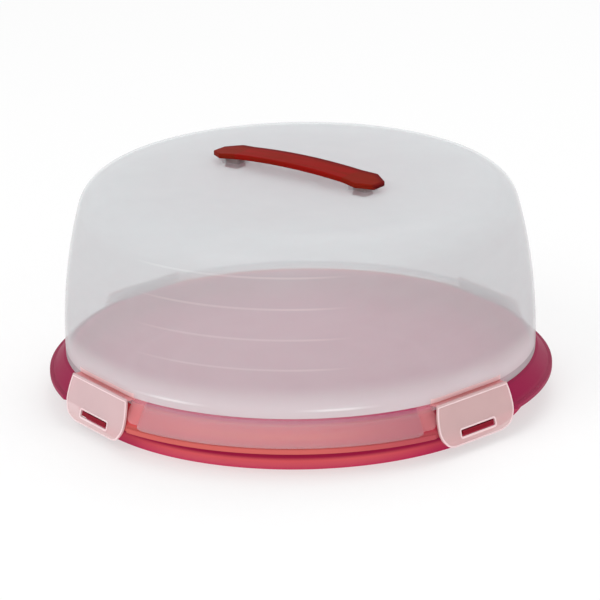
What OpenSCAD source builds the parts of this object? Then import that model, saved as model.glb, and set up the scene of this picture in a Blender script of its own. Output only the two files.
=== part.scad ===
// Round cake carrier: a red tray, a clear domed lid with four flap latches,
// and a strap handle that snaps into the crown of the lid.
// The front is -Y, the tray stands on Z = 0 and its centre is on the Z axis.

/* [Tray] */
// Diameter over the rim of the tray
rim_d = 350; // [340:1:370]
// Height of the underside of the rim above the table
rim_z = 17; // [15:0.5:19]
// Depth of the upright edge of the rim
rim_edge_h = 3.3; // [2.5:0.1:4.5]
// Width of the flat ledge on top of the rim
rim_ledge_w = 2.6; // [1.5:0.1:3.5]
// Height of the crest that the lid stands on
crest_z = 32; // [30:0.5:36]
// Lean of the outer slope away from upright, in degrees
slope_a = 35; // [30:1:38]
// Bevel on the edges of the crest
crest_round = 1.2; // [0.6:0.1:1.6]
// How far the rim stands out past the foot ring
rim_out = 16.5; // [14:0.5:22]
// Outward draft of the foot wall from the table to the crest
foot_draft = 0.8; // [0.2:0.1:1.5]
// Thickness of the tray's walls
tray_t = 2.4; // [1.8:0.1:3]
// Height of the cake floor above the table
floor_z = 14; // [10:0.5:18]
// Radius where the floor turns up into the wall
floor_fillet_r = 7; // [3:0.5:10]
// Height of the rings moulded on the cake floor
floor_ring_h = 0.8; // [0.4:0.1:1.5]
// Width of each ring on the cake floor
floor_ring_w = 2.2; // [1:0.1:4]
// Radius of the smallest ring on the cake floor
floor_ring_r = 60; // [40:1:70]
// Spacing of the rings on the cake floor
floor_ring_step = 30; // [20:1:35]
// Number of rings on the cake floor
floor_rings = 3; // [1:1:3]

/* [Underside ribs] */
// Depth of the ribs under the floor
rib_h = 5; // [2:0.5:8]
// Thickness of the ribs under the floor
rib_t = 1.6; // [1.2:0.1:2.4]
// Radius of the hub ring where the spokes meet
hub_r = 34; // [20:1:50]
// Number of spokes under the floor
spokes = 12; // [6:2:16]

/* [Lid] */
// How far the lid's foot stands in from the edge of the crest
lid_step = 0.7; // [0.5:0.1:1.5]
// Height of the crown of the lid above the table
lid_top_z = 155; // [130:1:200]
// Rise of the crown from its edge to its middle
crown_rise = 0.8; // [0.4:0.1:4]
// Radius of the shoulder between wall and crown
shoulder_r = 26; // [15:1:40]
// Radius of the slow outward bow of the wall
wall_bow_r = 350; // [300:5:600]
// Height at which the wall stands upright
wall_bow_z = 45; // [40:1:60]
// Thickness of the lid's walls
lid_t = 1.6; // [1.2:0.1:2.2]
// Half the arc that each skirt covers, in degrees
skirt_half_a = 33.5; // [25:0.5:34]
// Height of the thicker band along the edge of the skirt
skirt_band_h = 4; // [2:0.5:6]
// Extra thickness of that band
skirt_band_t = 0.4; // [0.2:0.1:0.8]
// How far each return beside a latch lies below the skirt's face
return_step = 0.7; // [0.4:0.1:1]
// How far the edge of each return stays above the skirt's edge
return_up = 2; // [1:0.5:4]
// How far the lid's flats run past each end of a latch's hinge
flat_side = 1.5; // [1:0.5:4]
// Height at which each flat runs out into the round wall
flat_top_z = 54; // [50:1:80]

/* [Latches] */
// Angle of each latch from the front or back, in degrees
latch_a = 49; // [46:1:56]
// Width of a latch at its hinge
latch_w = 66; // [54:1:67]
// How far each side of a latch bulges
latch_bulge = 2.5; // [0.5:0.1:3]
// Thickness of a latch
latch_t = 1.8; // [1.4:0.1:2.2]
// Lean of a closed latch away from upright, in degrees
latch_lean = 14; // [10:1:18]
// Straight length of a latch from its hinge to its bend
latch_flap_l = 25; // [24.5:0.5:27]
// How far the end of a latch is turned down, in degrees
latch_bend_a = 25; // [10:1:35]
// Radius inside that bend
latch_bend_r = 3; // [1:0.5:6]
// Length of the turned-down end of a latch
latch_tip_l = 5; // [4:0.5:6]
// Radius of the lower corners of a latch
latch_corner_r = 13; // [6:1:14]
// How far the hinge line stands out from the lid's flat
hinge_out = 5.7; // [4:0.1:7]
// Height of the hinge line above the crest
hinge_up = 4.7; // [3.5:0.1:5.5]
// Radius of the bead on the hinge line of a latch
hinge_bead_r = 1; // [0.8:0.1:1.2]
// Thickness of the shelf on the lid that carries the hinge line
hinge_web_t = 0.8; // [0.5:0.1:1.2]
// Length of the slot in a latch
slot_l = 32; // [24:1:38]
// Height of the slot in a latch
slot_h = 4.6; // [4.4:0.1:6]
// Distance from the hinge line to the middle of the slot
slot_v = 22.5; // [21.5:0.5:23]
// How far a catch on the tray stays below the latch's face
catch_inset = 0.2; // [0:0.1:0.5]
// How far the pad behind a catch runs past its ends
catch_pad = 2; // [1:0.5:4]
// How far the pad behind a catch hangs below the rim
catch_drop = 4.2; // [3.5:0.1:4.4]

/* [Handle] */
// Length of the handle from tip to tip
handle_l = 142; // [120:1:160]
// Width of the handle's strap
strap_w = 23; // [18:0.5:28]
// Thickness of the handle's strap
strap_t = 3.6; // [3:0.1:5]
// Height of the handle's top above the crown
handle_h = 10.5; // [9.5:0.5:18]
// Drop of the strap from its middle to its tips
strap_drop = 3; // [1:0.5:4]
// Widest part of each flared end
flare_w = 30; // [26:0.5:34]
// Width of the tip of each end
tip_w = 15; // [10:0.5:20]
// Length of each flared end
flare_l = 24; // [18:1:28]
// Angle of the handle from the front, in degrees
handle_a = 60; // [0:1:180]
// Distance of each leg from the tip of the handle
leg_in = 15; // [13:0.5:24]
// Length of each leg along the handle
leg_l = 11; // [8:0.5:14]
// Width of each leg
leg_w = 8; // [6:0.5:12]
// How far the barb at the foot of a leg stands out
barb_out = 0.9; // [0.5:0.1:1.2]
// Height of that barb
barb_h = 1.6; // [1:0.1:2.5]
// Height of the lid's pads under the handle's ends
pad_h = 3.2; // [1:0.1:4]
// Rim of each pad around its leg
pad_rim = 3; // [2:0.5:4]

/* [Fits] */
// Gap between the lid's foot and the tray's crest
seat_gap = 0.3; // [0.2:0.1:0.6]
// Gap between the skirt and the tray's slope
skirt_gap = 0.6; // [0.4:0.1:1]
// Gap between a return of the skirt and the tray's slope
return_gap = 0.4; // [0.3:0.1:0.6]
// Gap between a latch and its seat on the tray
latch_gap = 0.5; // [0.3:0.1:0.8]
// Gap around the bead on a hinge line
bead_gap = 0.3; // [0.2:0.1:0.5]
// Gap between a latch and the ends of the skirt
latch_side_gap = 1.2; // [0.8:0.1:2]
// Gap around each handle leg in its hole
leg_gap = 0.2; // [0.1:0.05:0.3]
// Gap between a barb and the underside of the crown
barb_gap = 0.6; // [0.3:0.1:1]
// Gap at each end of a catch in its slot
catch_end_gap = 1.5; // [0.5:0.1:3]
// Gap above and below a catch in its slot
catch_side_gap = 0.9; // [0.6:0.1:1.2]

/* [Hidden] */
$fn = 96;
ring_fn = 180;
strap_fn = 360;
small_fn = 32;
over = 1;
reach = 2 * rim_d;

// Colours as seen in the photograph
tray_red = [0.80, 0.22, 0.30];
lid_clear = [0.86, 0.87, 0.88, 0.55];
latch_pink = [0.90, 0.78, 0.80, 0.85];
handle_red = [0.60, 0.13, 0.11];

// The tray's outer slope runs from the ledge of the rim up to the crest
rim_r = rim_d / 2;
rim_top_z = rim_z + rim_edge_h;
slope_t = tan(slope_a);
slope_foot_r = rim_r - rim_ledge_w;
crest_r = slope_foot_r - (crest_z - rim_top_z) * slope_t;
foot_r = rim_r - rim_out;
crest_foot_r = foot_r + foot_draft;

// The lid: three arcs that run into each other, set in by the wall for the inside
lid_r = crest_r - lid_step;
lid_foot_z = crest_z + seat_gap;
shoulder_z = lid_top_z - crown_rise - shoulder_r;
bow_x = lid_r - wall_bow_r;
shoulder_a = asin((shoulder_z - wall_bow_z) / (wall_bow_r - shoulder_r));
shoulder_x = bow_x + (wall_bow_r - shoulder_r) * cos(shoulder_a);
crown_h = shoulder_r + crown_rise;
crown_r = (pow(shoulder_x, 2) + pow(crown_h, 2) - pow(shoulder_r, 2)) / (2 * crown_rise);
crown_a = atan2(crown_r - crown_h, shoulder_x);

// The skirt lies over the slope at its own gap, measured square to the slope
skirt_in = skirt_gap / cos(slope_a);
skirt_out = (skirt_gap + lid_t) / cos(slope_a);
skirt_edge_z = rim_top_z + skirt_gap;
skirt_wall_x = lid_r - lid_t / 2;
return_in = return_gap / cos(slope_a);
return_out = (skirt_gap + lid_t - return_step) / cos(slope_a);

// Each flat is a plane that leans outward from the lid's foot
flat_w = latch_w + 2 * flat_side;
flat_sag = lid_r - sqrt(pow(lid_r, 2) - pow(flat_w / 2, 2));
flat_foot_x = lid_r - flat_sag;
flat_lean = atan((flat_sag - bow_inset(flat_top_z)) / (flat_top_z - lid_foot_z));

// Hinge line of a latch, in the upright plane through its middle
hinge_x = flat_foot_x + hinge_out;
hinge_z = crest_z + hinge_up;
seat_drop = latch_t / 2 + latch_gap;
catch_l = slot_l - 2 * catch_end_gap;
catch_h = slot_h - 2 * catch_side_gap;

// The handle's strap is an arc through its middle and both tips
handle_top_z = lid_top_z + handle_h;
strap_r = (pow(handle_l / 2, 2) + pow(strap_drop, 2)) / (2 * strap_drop);
leg_x = handle_l / 2 - leg_in;
hole_l = leg_l + 2 * leg_gap;
hole_w = leg_w + 2 * leg_gap;
pad_top_z = lid_top_z + pad_h;

// How far the bowed wall has leaned in at height z
function bow_inset(z) = wall_bow_r - sqrt(pow(wall_bow_r, 2) - pow(z - wall_bow_z, 2));

// Points on an arc, from angle a to angle b
function arc(x, z, r, a, b, steps) =
    [for (i = [0:steps]) let (t = a + (b - a) * i / steps) [x + r * cos(t), z + r * sin(t)]];

// Radius of the tray's slope at height z
function slope_r(z) = slope_foot_r - (z - rim_top_z) * slope_t;

// Outline of the lid's dome from foot to crown, set in by the given amount
function dome(inset) = concat(
    [[lid_r - inset, lid_foot_z - over]],
    arc(bow_x, wall_bow_z, wall_bow_r - inset, 0, shoulder_a, 14),
    arc(shoulder_x, shoulder_z, shoulder_r - inset, shoulder_a, crown_a, 16),
    [for (i = [1:8]) let (t = crown_a + (90 - crown_a) * i / 8)
        [(crown_r - inset) * cos(t), lid_top_z - crown_r + (crown_r - inset) * sin(t)]],
    [[0, lid_foot_z - over]]
);

// Places its children at one latch, with local X pointing out of the carrier
module at_latch(a) {
    rotate([0, 0, a - 90]) children();
}

// Repeats its children at all four latches
module at_latches() {
    for (a = [-latch_a, latch_a, 180 - latch_a, 180 + latch_a]) at_latch(a) children();
}

// Places its children on the hinge line, with local -Z running down the closed latch
module on_hinge() {
    translate([hinge_x, 0, hinge_z]) rotate([0, -latch_lean, 0]) children();
}

// Everything further out than a plane that lies below the hinge line by drop
module beyond_seat(drop, low_z) {
    intersection() {
        on_hinge() translate([-drop, -reach / 2, -reach / 2]) cube([reach, reach, reach]);
        translate([rim_r / 2, -latch_w / 2 - latch_bulge - 2 * latch_side_gap, low_z])
            cube([rim_r, latch_w + 2 * latch_bulge + 4 * latch_side_gap, crest_z - low_z + over]);
    }
}

// Catch that stands square on the seat and fills the latch's slot
module catch() {
    on_hinge() translate([-seat_drop - over, -catch_l / 2, -slot_v - catch_h / 2])
        cube([over + latch_gap + latch_t - catch_inset, catch_l, catch_h]);
}

// Section of the tray's floor, foot wall, crest and sloping flange, filled below
module tray_section() {
    fillet_x = crest_foot_r - tray_t - floor_fillet_r;
    difference() {
        polygon(concat(
            [[0, 0], [foot_r, 0], [crest_foot_r, rim_z], [rim_r, rim_z], [rim_r, rim_top_z]],
            [[slope_foot_r, rim_top_z], [crest_r + crest_round * slope_t, crest_z - crest_round]],
            [[crest_r - crest_round, crest_z], [crest_foot_r - tray_t, crest_z]],
            arc(fillet_x, floor_z + floor_fillet_r, floor_fillet_r, 0, -90, 8),
            [[0, floor_z]]
        ));
        translate([0, -over])
            square([foot_r - tray_t, floor_z - tray_t + over]);
    }
}

// Hollow between the foot wall and the flange, open below
module flange_hollow() {
    flange_in = tray_t / cos(slope_a);
    rotate_extrude($fn = ring_fn)
        polygon([
            [crest_foot_r, rim_z - over],
            [crest_foot_r, crest_z - tray_t],
            [slope_r(crest_z - tray_t) - flange_in, crest_z - tray_t],
            [slope_r(rim_z - over) - flange_in, rim_z - over]
        ]);
}

// Tray: one moulding with a cake floor, a crest for the lid and a rim with four catches
module tray() {
    color(tray_red) {
        difference() {
            union() {
                rotate_extrude($fn = ring_fn) tray_section();
                at_latches() intersection() {
                    translate([crest_foot_r, -catch_l / 2 - catch_pad, rim_z - catch_drop])
                        cube([rim_r - crest_foot_r, catch_l + 2 * catch_pad, catch_drop + over]);
                    beyond_seat(seat_drop + tray_t, rim_z - catch_drop);
                }
            }
            difference() {
                flange_hollow();
                at_latches() beyond_seat(seat_drop + tray_t, rim_z - catch_drop);
            }
            at_latches() beyond_seat(seat_drop, 0);
        }
        at_latches() catch();
        for (i = [0:floor_rings - 1])
            rotate_extrude() translate([floor_ring_r + i * floor_ring_step, floor_z - over])
                square([floor_ring_w, floor_ring_h + over]);
        tray_ribs();
    }
}

// Ribs under the floor: a hub ring and spokes that run out to the foot ring
module tray_ribs() {
    rib_z = floor_z - tray_t - rib_h;
    rotate_extrude() translate([hub_r - rib_t, rib_z]) square([rib_t, rib_h + over]);
    for (i = [0:spokes - 1]) rotate([0, 0, i * 360 / spokes])
        translate([hub_r - rib_t / 2, -rib_t / 2, rib_z])
            cube([foot_r - tray_t / 2 - hub_r, rib_t, rib_h + over]);
}

// The lid's dome as a solid, with its four flats, set in by the given amount
module dome_form(inset) {
    difference() {
        rotate_extrude($fn = ring_fn) polygon(dome(inset));
        at_latches() translate([flat_foot_x - inset, 0, lid_foot_z]) rotate([0, flat_lean, 0])
            translate([0, -reach / 2, -reach / 2]) cube([reach, reach, reach]);
    }
}

// Skirt that covers the tray's slope, with a thicker band along its edge
module skirt() {
    band_z = skirt_edge_z + skirt_band_h;
    top_z = rim_top_z + (slope_foot_r + skirt_out - skirt_wall_x) / slope_t;
    rotate([0, 0, -90 - skirt_half_a]) rotate_extrude(angle = 2 * skirt_half_a, $fn = ring_fn)
        polygon([
            [slope_r(skirt_edge_z) + skirt_in, skirt_edge_z],
            [slope_r(skirt_edge_z) + skirt_out + skirt_band_t, skirt_edge_z],
            [slope_r(band_z) + skirt_out + skirt_band_t, band_z],
            [slope_r(band_z) + skirt_out, band_z],
            [skirt_wall_x, top_z],
            [skirt_wall_x, top_z - lid_t / sin(slope_a)]
        ]);
}

// Rounded return that closes one end of a skirt beside a latch
module skirt_return(side) {
    start_a = skirt_half_a - atan(lid_t / (4 * lid_r));
    end_a = latch_a - asin((latch_w / 2 + latch_bulge + latch_side_gap) / hinge_x);
    low_z = skirt_edge_z + return_up;
    top_z = rim_top_z + (slope_foot_r + return_out - skirt_wall_x) / slope_t;
    turn = side > 0 ? start_a : -end_a;
    rotate([0, 0, -90 + turn]) rotate_extrude(angle = end_a - start_a, $fn = ring_fn)
        polygon([
            [slope_r(low_z) + return_in, low_z],
            [slope_r(low_z) + return_out, low_z],
            [skirt_wall_x, top_z],
            [skirt_wall_x, top_z - (return_out - return_in) / slope_t]
        ]);
}

// Thin shelf that carries a latch's hinge line out from the lid's flat
module hinge_web() {
    start_x = flat_foot_x - lid_t / 2;
    translate([start_x, -latch_w / 2, hinge_z - hinge_web_t / 2])
        cube([hinge_x - hinge_bead_r - bead_gap - start_x, latch_w, hinge_web_t]);
}

// Pad on the crown around one hole for the handle
module handle_pad(side) {
    pad_l = hole_l + 2 * pad_rim;
    pad_w = hole_w + 2 * pad_rim;
    translate([side * leg_x, 0, lid_top_z - crown_rise - lid_t / 2])
        linear_extrude(pad_top_z - lid_top_z + crown_rise + lid_t / 2)
            rounded_plate(pad_l, pad_w, pad_rim);
}

// Flat plate with round corners, centred
module rounded_plate(l, w, r) {
    square([l - 2 * r, w], center = true);
    square([l, w - 2 * r], center = true);
    for (x = [-1, 1], y = [-1, 1])
        translate([x * (l / 2 - r), y * (w / 2 - r)]) circle(r = r, $fn = small_fn);
}

// Turns its children to the direction of the handle
module along_handle() {
    rotate([0, 0, handle_a - 90]) children();
}

// Lid: clear dome with a skirt at the front and back, hinge webs and pads for the handle
module lid() {
    color(lid_clear) difference() {
        union() {
            difference() {
                dome_form(0);
                translate([0, 0, -reach + lid_foot_z]) cylinder(r = reach, h = reach);
                dome_form(lid_t);
            }
            for (turn = [0, 180]) rotate([0, 0, turn]) {
                skirt();
                for (side = [-1, 1]) skirt_return(side);
            }
            at_latches() hinge_web();
            along_handle() for (side = [-1, 1]) handle_pad(side);
        }
        along_handle() for (side = [-1, 1])
            translate([side * leg_x - hole_l / 2, -hole_w / 2, shoulder_z])
                cube([hole_l, hole_w, reach]);
    }
}

// Outline of a latch seen square on: sides that flare to full width, round lower corners
module latch_outline() {
    low_z = -latch_flap_l - latch_tip_l - latch_t;
    flare_z = low_z + latch_corner_r;
    half_w = latch_w / 2 + latch_bulge;
    side_r = (pow(flare_z, 2) + pow(latch_bulge, 2)) / (2 * latch_bulge);
    corner_steps = 10;
    right = concat(
        [[latch_w / 2, hinge_bead_r]],
        arc(half_w - side_r, flare_z, side_r, asin(-flare_z / side_r), 0, 6),
        arc(half_w - latch_corner_r, flare_z, latch_corner_r,
            -90 / corner_steps, -90, corner_steps - 1)
    );
    n = len(right);
    polygon(concat(right, [for (i = [0:n - 1]) [-right[n - 1 - i][0], right[n - 1 - i][1]]]));
}

// Section of a latch: a straight flap with a rounded bend and a turned-down end
module latch_section() {
    bend_x = -latch_t / 2 - latch_bend_r;
    out_r = latch_bend_r + latch_t;
    tip = latch_tip_l * [-sin(latch_bend_a), -cos(latch_bend_a)];
    outer = arc(bend_x, -latch_flap_l, out_r, 0, -latch_bend_a, 6);
    inner = arc(bend_x, -latch_flap_l, latch_bend_r, -latch_bend_a, 0, 6);
    polygon(concat(
        [[latch_t / 2, 0]], outer, [outer[6] + tip],
        [inner[0] + tip], inner, [[-latch_t / 2, 0]]
    ));
}

// Latch: a flap that hangs from the lid's hinge web and drops its slot over a catch
module latch() {
    wide = latch_w + 2 * latch_bulge;
    color(latch_pink) difference() {
        on_hinge() {
            intersection() {
                translate([0, wide / 2, 0]) rotate([90, 0, 0])
                    linear_extrude(wide) latch_section();
                translate([-reach / 2, 0, 0]) rotate([90, 0, 90])
                    linear_extrude(reach) latch_outline();
            }
            translate([0, latch_w / 2, 0]) rotate([90, 0, 0])
                cylinder(r = hinge_bead_r, h = latch_w, $fn = small_fn);
        }
        on_hinge() translate([-latch_t - over, -slot_l / 2, -slot_v - slot_h / 2])
            cube([2 * latch_t + 2 * over, slot_l, slot_h]);
    }
}

// Plan outline of the handle: a strap with a flared, pointed end on each side
module handle_plan() {
    end_x = handle_l / 2;
    neck_x = end_x - flare_l;
    wide_x = end_x - flare_l / 2;
    polygon([
        [-end_x, -tip_w / 2], [-wide_x, -flare_w / 2], [-neck_x, -strap_w / 2],
        [neck_x, -strap_w / 2], [wide_x, -flare_w / 2], [end_x, -tip_w / 2],
        [end_x, tip_w / 2], [wide_x, flare_w / 2], [neck_x, strap_w / 2],
        [-neck_x, strap_w / 2], [-wide_x, flare_w / 2], [-end_x, tip_w / 2]
    ]);
}

// Side outline of the handle's strap: a slice of a wide flat arc
module strap_arc() {
    translate([0, handle_top_z - strap_r]) difference() {
        circle(r = strap_r, $fn = strap_fn);
        circle(r = strap_r - strap_t, $fn = strap_fn);
        translate([-reach * 2, -reach * 4]) square([reach * 4, reach * 4 + strap_r / 2]);
    }
}

// One leg of the handle, with a barb on each long side that snaps under the crown
module handle_leg(side) {
    leg_low_z = lid_top_z - crown_rise - lid_t - barb_gap - barb_h;
    leg_top_z = handle_top_z - strap_drop - strap_t + over;
    translate([side * leg_x - leg_l / 2, -leg_w / 2, leg_low_z])
        cube([leg_l, leg_w, leg_top_z - leg_low_z]);
    translate([side * leg_x - leg_l / 2, -leg_w / 2 - barb_out, leg_low_z])
        cube([leg_l, leg_w + 2 * barb_out, barb_h]);
    translate([side * leg_x, 0, pad_top_z])
        linear_extrude(leg_top_z - pad_top_z)
            rounded_plate(leg_l + 2 * pad_rim, leg_w + 2 * pad_rim, pad_rim);
}

// Handle: an arched strap on two legs that snap through the crown
module handle() {
    color(handle_red) along_handle() {
        intersection() {
            translate([0, reach / 2, 0]) rotate([90, 0, 0]) linear_extrude(reach) strap_arc();
            linear_extrude(reach) handle_plan();
        }
        for (side = [-1, 1]) handle_leg(side);
    }
}

module latch_front_left() { at_latch(-latch_a) latch(); }
module latch_front_right() { at_latch(latch_a) latch(); }
module latch_back_right() { at_latch(180 - latch_a) latch(); }
module latch_back_left() { at_latch(180 + latch_a) latch(); }

tray();
lid();
handle();
latch_front_left();
latch_front_right();
latch_back_right();
latch_back_left();
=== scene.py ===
import math

import bmesh
import bpy
from mathutils import Matrix, Vector


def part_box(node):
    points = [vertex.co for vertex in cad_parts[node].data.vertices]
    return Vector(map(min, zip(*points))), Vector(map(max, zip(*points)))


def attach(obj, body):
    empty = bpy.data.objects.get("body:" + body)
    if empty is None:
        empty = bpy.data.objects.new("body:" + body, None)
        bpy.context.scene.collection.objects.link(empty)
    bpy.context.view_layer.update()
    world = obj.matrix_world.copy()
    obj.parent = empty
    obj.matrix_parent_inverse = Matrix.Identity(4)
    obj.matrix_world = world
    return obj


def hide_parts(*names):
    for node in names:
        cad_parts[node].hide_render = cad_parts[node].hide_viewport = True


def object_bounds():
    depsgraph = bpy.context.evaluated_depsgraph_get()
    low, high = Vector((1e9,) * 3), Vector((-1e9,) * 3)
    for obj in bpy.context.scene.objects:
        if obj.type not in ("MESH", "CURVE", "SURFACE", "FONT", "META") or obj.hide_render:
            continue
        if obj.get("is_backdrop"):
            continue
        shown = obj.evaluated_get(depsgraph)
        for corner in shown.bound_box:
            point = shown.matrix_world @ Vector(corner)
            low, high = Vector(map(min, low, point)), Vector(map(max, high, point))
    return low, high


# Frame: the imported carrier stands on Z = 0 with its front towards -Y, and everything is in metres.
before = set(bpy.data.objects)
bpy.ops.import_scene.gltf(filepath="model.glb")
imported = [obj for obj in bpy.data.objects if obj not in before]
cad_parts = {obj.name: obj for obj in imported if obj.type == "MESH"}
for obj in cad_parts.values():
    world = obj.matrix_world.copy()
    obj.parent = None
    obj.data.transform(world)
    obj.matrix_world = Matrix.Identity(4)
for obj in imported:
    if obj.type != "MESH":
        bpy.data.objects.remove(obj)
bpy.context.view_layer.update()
mm = 0.001

# Camera. The photograph was taken from well away through a long lens, from a little above the tray
# and slightly to the right of the carrier's front, with the picture tipped by about a degree.
camera_away = 2.5
camera_turn = math.radians(5.8)
camera_height = math.radians(19.05)
camera_tip = math.radians(0.9)
camera_aim = Vector((0, 0, 63.5 * mm))
camera_lens = 216.1

ahead = Vector((-math.sin(camera_turn) * math.cos(camera_height),
                math.cos(camera_turn) * math.cos(camera_height),
                -math.sin(camera_height)))
level = Vector((math.cos(camera_turn), math.sin(camera_turn), 0))
upright = level.cross(ahead)
picture_x = level * math.cos(camera_tip) - upright * math.sin(camera_tip)
picture_y = level * math.sin(camera_tip) + upright * math.cos(camera_tip)

camera = bpy.data.objects.new("camera", bpy.data.cameras.new("camera"))
camera.data.lens = camera_lens
camera.data.sensor_width = 36
camera.data.clip_end = 20
turned = Matrix((picture_x, picture_y, -ahead)).transposed()
camera.matrix_world = Matrix.Translation(camera_aim - ahead * camera_away) @ turned.to_4x4()
bpy.context.scene.collection.objects.link(camera)
bpy.context.scene.camera = camera
bpy.context.scene.view_settings.view_transform = "Standard"


# Studio. A white room: a pale floor that keeps the carrier's soft shadow, white air that the camera,
# the gloss and the clear plastic see, and four large soft lamps.
class Wire:
    """One output of a node. A sum written on wires adds its Math nodes to their graph."""

    def __init__(self, graph, socket):
        self.graph = graph
        self.socket = socket

    def __add__(self, other):
        return self.graph.math("ADD", self, other)

    def __radd__(self, other):
        return self.graph.math("ADD", other, self)

    def __sub__(self, other):
        return self.graph.math("SUBTRACT", self, other)

    def __rsub__(self, other):
        return self.graph.math("SUBTRACT", other, self)

    def __mul__(self, other):
        return self.graph.math("MULTIPLY", self, other)

    def __truediv__(self, other):
        return self.graph.math("DIVIDE", self, other)

    def __mod__(self, other):
        return self.graph.math("FLOORED_MODULO", self, other)

    def __abs__(self):
        return self.graph.math("ABSOLUTE", self)


class Graph:
    """A node tree, of a material, the world or a modifier, that is written as expressions."""

    def __init__(self, tree):
        self.tree = tree
        tree.nodes.clear()

    def node(self, kind, settings=None, sockets=None, out=0):
        """Adds a node: its settings first, then its sockets by name or number. Gives one output."""
        made = self.tree.nodes.new(kind)
        for name, value in (settings or {}).items():
            if name == "stops":
                for index, (place, colour) in enumerate(value):
                    ends = made.color_ramp.elements
                    stop = ends[index] if index < 2 else ends.new(place)
                    stop.position = place
                    stop.color = colour
            else:
                setattr(made, name, value)
        for name, value in (sockets or {}).items():
            if isinstance(value, Wire):
                self.tree.links.new(value.socket, made.inputs[name])
            elif value is not None:
                made.inputs[name].default_value = value
        return Wire(self, made.outputs[out]) if len(made.outputs) else None

    def math(self, operation, *values):
        return self.node("ShaderNodeMath", {"operation": operation}, dict(enumerate(values)))

    def vector(self, operation, first, second, out=0):
        return self.node("ShaderNodeVectorMath", {"operation": operation}, {0: first, 1: second}, out)

    def blend(self, factor, first, second):
        """Goes from the first colour to the second as the factor goes from 0 to 1."""
        return self.node("ShaderNodeMix", {"data_type": "RGBA"}, {0: factor, 6: first, 7: second}, 2)

    def between(self, value, start, end):
        """0 below start, 1 above end, and smooth in between. Start may be the larger."""
        return self.node("ShaderNodeMapRange", {"interpolation_type": "SMOOTHSTEP"},
                         {"Value": value, "From Min": start, "From Max": end})

    def split(self, vector):
        """The three parts of a vector."""
        made = self.tree.nodes.new("ShaderNodeSeparateXYZ")
        self.tree.links.new(vector.socket, made.inputs[0])
        return [Wire(self, output) for output in made.outputs]


def paint(red, green, blue):
    """A colour as it is seen on a screen, 0 to 255, turned into the renderer's own linear values."""
    def linear(value):
        part = value / 255
        return part / 12.92 if part <= 0.04045 else ((part + 0.055) / 1.055) ** 2.4
    return (linear(red), linear(green), linear(blue), 1)


def new_material(name):
    material = bpy.data.materials.new(name)
    material.use_nodes = True
    return material, Graph(material.node_tree)


def seen_plainly(graph):
    """1 for what the camera, gloss and clear plastic see, 0 for the light that falls on surfaces."""
    rays = [graph.node("ShaderNodeLightPath", out=name)
            for name in ("Is Camera Ray", "Is Glossy Ray", "Is Transmission Ray")]
    return graph.math("MINIMUM", rays[0] + rays[1] + rays[2], 1.0)


room_light = 0.66
room_white = (1, 1, 1, 1)
world = bpy.data.worlds.new("white_room")
world.use_nodes = True
bpy.context.scene.world = world
graph = Graph(world.node_tree)
strength = room_light + seen_plainly(graph) * (1 - room_light)
air = graph.node("ShaderNodeBackground", None, {"Color": room_white, "Strength": strength})
graph.node("ShaderNodeOutputWorld", None, {"Surface": air})

floor_half = 3.0
floor_pale = (0.86, 0.86, 0.86, 1)
floor_glow = 0.56
floor_shadow = 0.5
floor_bounce = 0.45
floor_mesh = bpy.data.meshes.new("floor")
floor_mesh.from_pydata([(-floor_half, -floor_half, 0), (floor_half, -floor_half, 0),
                        (floor_half, floor_half, 0), (-floor_half, floor_half, 0)],
                       [], [(0, 1, 2, 3)])
floor = bpy.data.objects.new("floor", floor_mesh)
bpy.context.scene.collection.objects.link(floor)
material, graph = new_material("pale_floor")
lit = graph.node("ShaderNodeBsdfDiffuse", None, {"Color": floor_pale})
glow = graph.node("ShaderNodeEmission", None, {"Color": room_white, "Strength": floor_glow})
dimmed = graph.node("ShaderNodeMixShader", None, {0: floor_shadow, 2: lit})
seen = graph.node("ShaderNodeAddShader", None, {0: dimmed, 1: glow})
bounce = graph.node("ShaderNodeEmission", None, {"Color": room_white, "Strength": floor_bounce})
felt = graph.node("ShaderNodeAddShader", None, {0: lit, 1: bounce})
either = graph.node("ShaderNodeMixShader", None, {0: seen_plainly(graph), 1: felt, 2: seen})
graph.node("ShaderNodeOutputMaterial", None, {"Surface": either})
floor_mesh.materials.append(material)
floor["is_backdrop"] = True

lamps = [
    ("key_lamp", (-1.3, -1.5, 1.9), 1.5, 18),
    ("side_lamp", (1.7, -1.0, 1.2), 1.2, 4),
    ("top_lamp", (0.3, 0.9, 2.2), 1.4, 13),
    ("front_lamp", (0.1, -2.2, 0.22), 0.9, 5),
]
for name, place, size, watts in lamps:
    lamp = bpy.data.lights.new(name, "AREA")
    lamp.size = size
    lamp.energy = watts
    lamp_object = bpy.data.objects.new(name, lamp)
    away = Vector(place) - camera_aim
    aimed = away.to_track_quat("Z", "Y").to_matrix().to_4x4()
    lamp_object.matrix_world = Matrix.Translation(place) @ aimed
    bpy.context.scene.collection.objects.link(lamp_object)


# Tray. One injection moulding in raspberry red polypropylene: a cake floor with three low rings, a
# crest that the lid stands on, a slope down to the rim, and a flat seat under each of the four latches.
tray_low, tray_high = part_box("tray")
rim_r = tray_high.y
rim_z = 17 * mm
rim_edge_h = 3.3 * mm
rim_ledge_w = 2.6 * mm
rim_top_z = rim_z + rim_edge_h
crest_z = tray_high.z
slope_a = math.radians(35)
foot_set_in = 16.5 * mm
foot_draft = 0.8 * mm
foot_r = rim_r - foot_set_in
crest_foot_r = foot_r + foot_draft
tray_t = 2.4 * mm
cake_floor_z = 14 * mm
cake_floor_fillet_r = 7 * mm
ring_h = 0.8 * mm
ring_w = 2.2 * mm
ring_step = 30 * mm
ring_rs = [60 * mm + count * ring_step for count in range(3)]
latch_a = math.radians(49)
latch_lean = math.radians(14)
latch_w = 66 * mm
latch_bulge = 2.5 * mm
latch_t = 1.8 * mm
latch_side_gap = 1.2 * mm
lid_set_in = 0.7 * mm
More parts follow.
